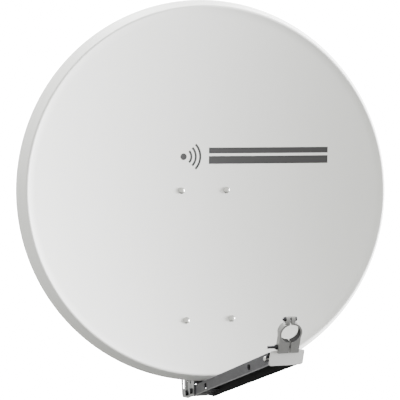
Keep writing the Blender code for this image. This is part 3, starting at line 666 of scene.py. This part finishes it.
def hexBody(acrossFlats, low, high, bore=0.0):     # chamfered at both ends like a real one
    flat = acrossFlats / 2
    face = flat * hexShape["face"]
    far = 1.0                     # stands for the corners until each one's reach is known
    profile = [(bore, low), (face, low), (far, low), (far, high), (face, high), (bore, high)]
    bm = spun(profile, closed=bore > 0, sides=hexShape["sides"])
    for vert in bm.verts:
        if math.hypot(vert.co.x, vert.co.y) > far / 2:
            turn = math.atan2(vert.co.y, vert.co.x)
            within = (turn + math.pi / 6) % (math.pi / 3) - math.pi / 6
            reach = flat / math.cos(within)
            drop = (reach - face) * math.tan(math.radians(hexShape["chamfer"]))
            height = vert.co.z + (drop if vert.co.z < (low + high) / 2 else -drop)
            vert.co = (reach * math.cos(turn), reach * math.sin(turn), height)
    return bm


def domeHead(radius, height):
    edge, foot = 0.16, 0.985      # shares of the height at the edge, of the radius at the seat
    rows = [(radius * math.cos(math.radians(a)),
             -height * (edge + (1 - edge) * math.sin(math.radians(a))))
            for a in range(90, -1, -9)]
    rows[0] = (0, rows[0][1])
    return spun(rows + [(radius * foot, 0), (0, 0)], sides=roundSides)


def ringShape(radius, bore, thickness):      # a washer with softened edges
    soft = thickness * 0.22
    return spun([(bore, soft), (bore + soft, 0), (radius - soft, 0), (radius, soft),
                 (radius, thickness - soft), (radius - soft, thickness),
                 (bore + soft, thickness), (bore, thickness - soft)],
                closed=True, sides=roundSides)


def putFastener(bm, node, start, direction, crease="hex"):
    turn = Vector((0, 0, 1)).rotation_difference(Vector(direction)).to_matrix().to_4x4()
    bmesh.ops.transform(bm, matrix=Matrix.Translation(start) @ turn, verts=bm.verts)
    standFor(objectFrom(node + "_fine", bm), node, crease)


def spanOf(node, axis, sign):     # start, direction and length of a node that lies on an axis
    low, high = (Vector(corner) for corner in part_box(node))
    start = (low + high) / 2
    start[axis] = low[axis] if sign > 0 else high[axis]
    direction = Vector((0, 0, 0))
    direction[axis] = sign
    return start, direction, high[axis] - low[axis]


hexSizes = {
    "M8": {"flats": 0.013, "head": 0.0053, "radius": 0.0040, "nut": 0.0065, "bore": 0.0041},
    "M6": {"flats": 0.010, "head": 0.0040, "radius": 0.0030, "nut": 0.0050, "bore": 0.0031},
    "M5": {"flats": 0.008, "head": 0.0035, "radius": 0.0025, "nut": 0.0040, "bore": 0.0026},
}

hexBolts = {
    # node: (axis, sign, size, threaded length)
    "elevation_pivot_bolt": (0, 1, "M8", 0.022),
    "elevation_lock_bolt": (0, 1, "M8", 0.022),
    "arm_pivot_bolt": (0, 1, "M8", 0.022),
    "arm_lock_bolt": (0, 1, "M8", 0.022),
    "mast_clamp_bolt_left": (1, 1, "M8", 0.062),
    "mast_clamp_bolt_right": (1, 1, "M8", 0.062),
    "lnb_clamp_lower_screw": (0, -1, "M6", 0.030),
    "lnb_clamp_upper_screw": (0, -1, "M5", 0.016),
}

hexNuts = {
    # node: (axis, sign, size)
    "elevation_pivot_nut": (0, 1, "M8"),
    "elevation_lock_nut": (0, 1, "M8"),
    "arm_pivot_nut": (0, 1, "M8"),
    "arm_lock_nut": (0, 1, "M8"),
    "mast_clamp_nut_left": (1, 1, "M8"),
    "mast_clamp_nut_right": (1, 1, "M8"),
    "holder_cross_nut": (0, 1, "M6"),
    "lnb_clamp_lower_nut": (0, -1, "M6"),
    "lnb_clamp_upper_nut": (0, -1, "M5"),
}

washerRadius = 0.0085
washers = {
    # node: (axis, bore)
    "elevation_pivot_washer": (0, 0.0042),
    "elevation_lock_washer": (0, 0.0042),
    "arm_pivot_washer": (0, 0.0042),
    "arm_lock_washer": (0, 0.0042),
    "mast_clamp_washer_left": (1, 0.0043),
    "mast_clamp_washer_right": (1, 0.0043),
}

carriage = {                  # the four bolts that hold the reflector on its straps
    "x": 0.058,
    "heights": {"upper": 0.0005, "lower": -0.3165},
    "headRadius": 0.0080,
    "head": 0.0038,
    "radius": 0.0030,
    "length": 0.0170,
    "threaded": 0.011,
    "gap": 0.0003,
    "plate": 0.0030,
}

flangeNut = {
    "flats": 0.010,
    "bore": 0.0031,
    "height": 0.0065,
    "hexFrom": 0.0010,
    # (radius, height) round the flange
    "flange": ((0.0031, 0), (0.0075, 0), (0.0075, 0.0006), (0.0052, 0.0019), (0.0031, 0.0019)),
}

crossBolt = {"headRadius": 0.0055, "head": 0.0035, "radius": 0.0030, "threaded": 0.016}


def makeReflectorBolt(level, hand, x, up):
    point, normal = bowlAt(x, up)
    bolt = join(domeHead(carriage["headRadius"], carriage["head"]),
                shank(carriage["radius"], carriage["length"], carriage["threaded"]))
    putFastener(bolt, f"reflector_bolt_{level}_{hand}", point + normal * 2 * carriage["gap"],
                -normal, "dome")
    nut = join(hexBody(flangeNut["flats"], flangeNut["hexFrom"], flangeNut["height"],
                       flangeNut["bore"]),
               spun(flangeNut["flange"], closed=True, sides=hexShape["sides"]))
    back = point - normal * (bowl["sheet"] + carriage["plate"] + 4 * carriage["gap"])
    putFastener(nut, f"reflector_nut_{level}_{hand}", back, -normal)


def makeFasteners():
    for node, (axis, sign, name, threaded) in hexBolts.items():
        start, direction, length = spanOf(node, axis, sign)
        size = hexSizes[name]
        bm = join(hexBody(size["flats"], -size["head"], 0),
                  shank(size["radius"], length - size["head"], threaded))
        putFastener(bm, node, start + direction * size["head"], direction)
    for node, (axis, sign, name) in hexNuts.items():
        start, direction, _ = spanOf(node, axis, sign)
        size = hexSizes[name]
        putFastener(hexBody(size["flats"], 0, size["nut"], size["bore"]), node, start,
                    direction)
    for node, (axis, bore) in washers.items():
        start, direction, thickness = spanOf(node, axis, 1)
        putFastener(ringShape(washerRadius, bore, thickness), node, start, direction)
    for level, up in carriage["heights"].items():
        for hand, side in (("left", -1), ("right", 1)):
            makeReflectorBolt(level, hand, side * carriage["x"], up)
    start, direction, length = spanOf("holder_cross_bolt", 0, 1)
    head = crossBolt["head"]
    bm = join(domeHead(crossBolt["headRadius"], head),
              shank(crossBolt["radius"], length - head, crossBolt["threaded"]))
    putFastener(bm, "holder_cross_bolt", start + direction * head, direction, "dome")


# Sheet metal, castings and the cap: finer copies of the CAD shapes

fineEdges = {
    # node: (edge radius, segments)
    "support_channel": (0.0007, 2),
    "upper_cross_strap": (0.0007, 2),
    "lower_cross_strap": (0.0007, 2),
    "mast_bracket": (0.0005, 2),
    "mast_jaw": (0.0005, 2),
    "feed_arm": (0.0005, 2),
    "arm_end_cap": (0.0016, 4),
    "lnb_clamp_fixed_half": (0.0009, 3),
    "lnb_clamp_loose_half": (0.0009, 3),
    "strap_rivet_upper_left": (0.0002, 2),
    "strap_rivet_upper_right": (0.0002, 2),
    "strap_rivet_lower_left": (0.0002, 2),
    "strap_rivet_lower_right": (0.0002, 2),
    "holder_screw": (0.0002, 2),
}

copying = {"weld": 2e-6, "flat": 0.4}      # merge distance, degrees that count as flat


def copyOf(node):
    bm = bmesh.new()
    bm.from_mesh(frame["nodes"][node].data)
    bmesh.ops.remove_doubles(bm, verts=bm.verts, dist=copying["weld"])
    bmesh.ops.dissolve_limit(bm, angle_limit=math.radians(copying["flat"]), verts=bm.verts,
                             edges=bm.edges)
    return bm


def isTopBend(edge):              # a long edge between the arm's top and a side wall
    first, second = (vert.co for vert in edge.verts)
    return (edge.is_manifold
            and abs(abs(first.x) - arm["halfWidth"]) < arm["slack"]
            and abs(first.x - second.x) < arm["slack"]
            and (first - second).length > arm["longest"]
            and (first.z + second.z) / 2 > arm["topEdges"]
            and edge.calc_face_angle(0) > math.radians(arm["bendAngle"]))


def roundTopBends(bm):
    edges = [edge for edge in bm.edges if isTopBend(edge)]
    bmesh.ops.bevel(bm, geom=edges, offset=arm["bendRadius"], offset_type="OFFSET",
                    segments=arm["bendSegments"], profile=0.5, affect="EDGES",
                    clamp_overlap=True, material=-1)


def soften(piece, width, segments):       # rounds the edges that are shaded sharp
    bevel = piece.modifiers.new("edges", "BEVEL")
    bevel.width = width
    bevel.segments = segments
    bevel.limit_method = "ANGLE"
    bevel.angle_limit = math.radians(creases["sheet"])
    bevel.harden_normals = True


def insideArm(place):             # true on the inner faces of the arm's channel
    return abs(place.x) < arm["innerHalf"] and overArm(place.y, place.z) < arm["innerTop"]


def insideBore(place):            # true on the wall of the clamp's bore
    lean = math.radians(boreShade["tilt"])
    middleY, middleZ = boreShade["centre"]
    across = (place.z - middleZ) * math.cos(lean) - (place.y - middleY) * math.sin(lean)
    return math.hypot(place.x, across) < boreShade["reach"]


def lineInside(piece, isInside, second):      # a second finish on the faces inside, which is painted shade in both uses
    piece.data.materials.append(second)
    for face in piece.data.polygons:
        corners = [piece.data.vertices[index].co for index in face.vertices]
        face.material_index = int(all(isInside(corner) for corner in corners))


def makeSheetMetal():
    borePaintedShade = boreShadeMaterial()
    secondFinish = {
        # painted shade on the arm's inner faces
        "feed_arm": (insideArm, armInsideShadeMaterial()),
        # painted shade on the wall of the clamp's bore
        "lnb_clamp_fixed_half": (insideBore, borePaintedShade),
        "lnb_clamp_loose_half": (insideBore, borePaintedShade),
    }
    for node, (width, segments) in fineEdges.items():
        bm = copyOf(node)
        if node == "feed_arm":
            roundTopBends(bm)
        piece = standFor(objectFrom(node + "_fine", bm), node, "sheet")
        soften(piece, width, segments)
        if node in secondFinish:
            lineInside(piece, *secondFinish[node])


makeCamera()
makePaper()
makeLight()
print("camera, floor and lamps made")

finishOf = {
    "reflector_coat": coatMaterial(),
    "arm_paint": paintMaterial(),
    "bracket_zinc": galvanisedMaterial(),
    "fastener_zinc": platedMaterial("fastener_zinc"),
    "fastener_black": platedMaterial("fastener_black"),
    "cap_plastic": plasticMaterial(),
    "clamp_casting": castMaterial(),
}
for node, piece in frame["nodes"].items():
    dress(piece, finishOf[slotOf[node]])
print("materials made")

makeReflector()
print("reflector made")
makeFasteners()
print("fasteners made")
makeSheetMetal()
print("sheet metal, castings and cap made")
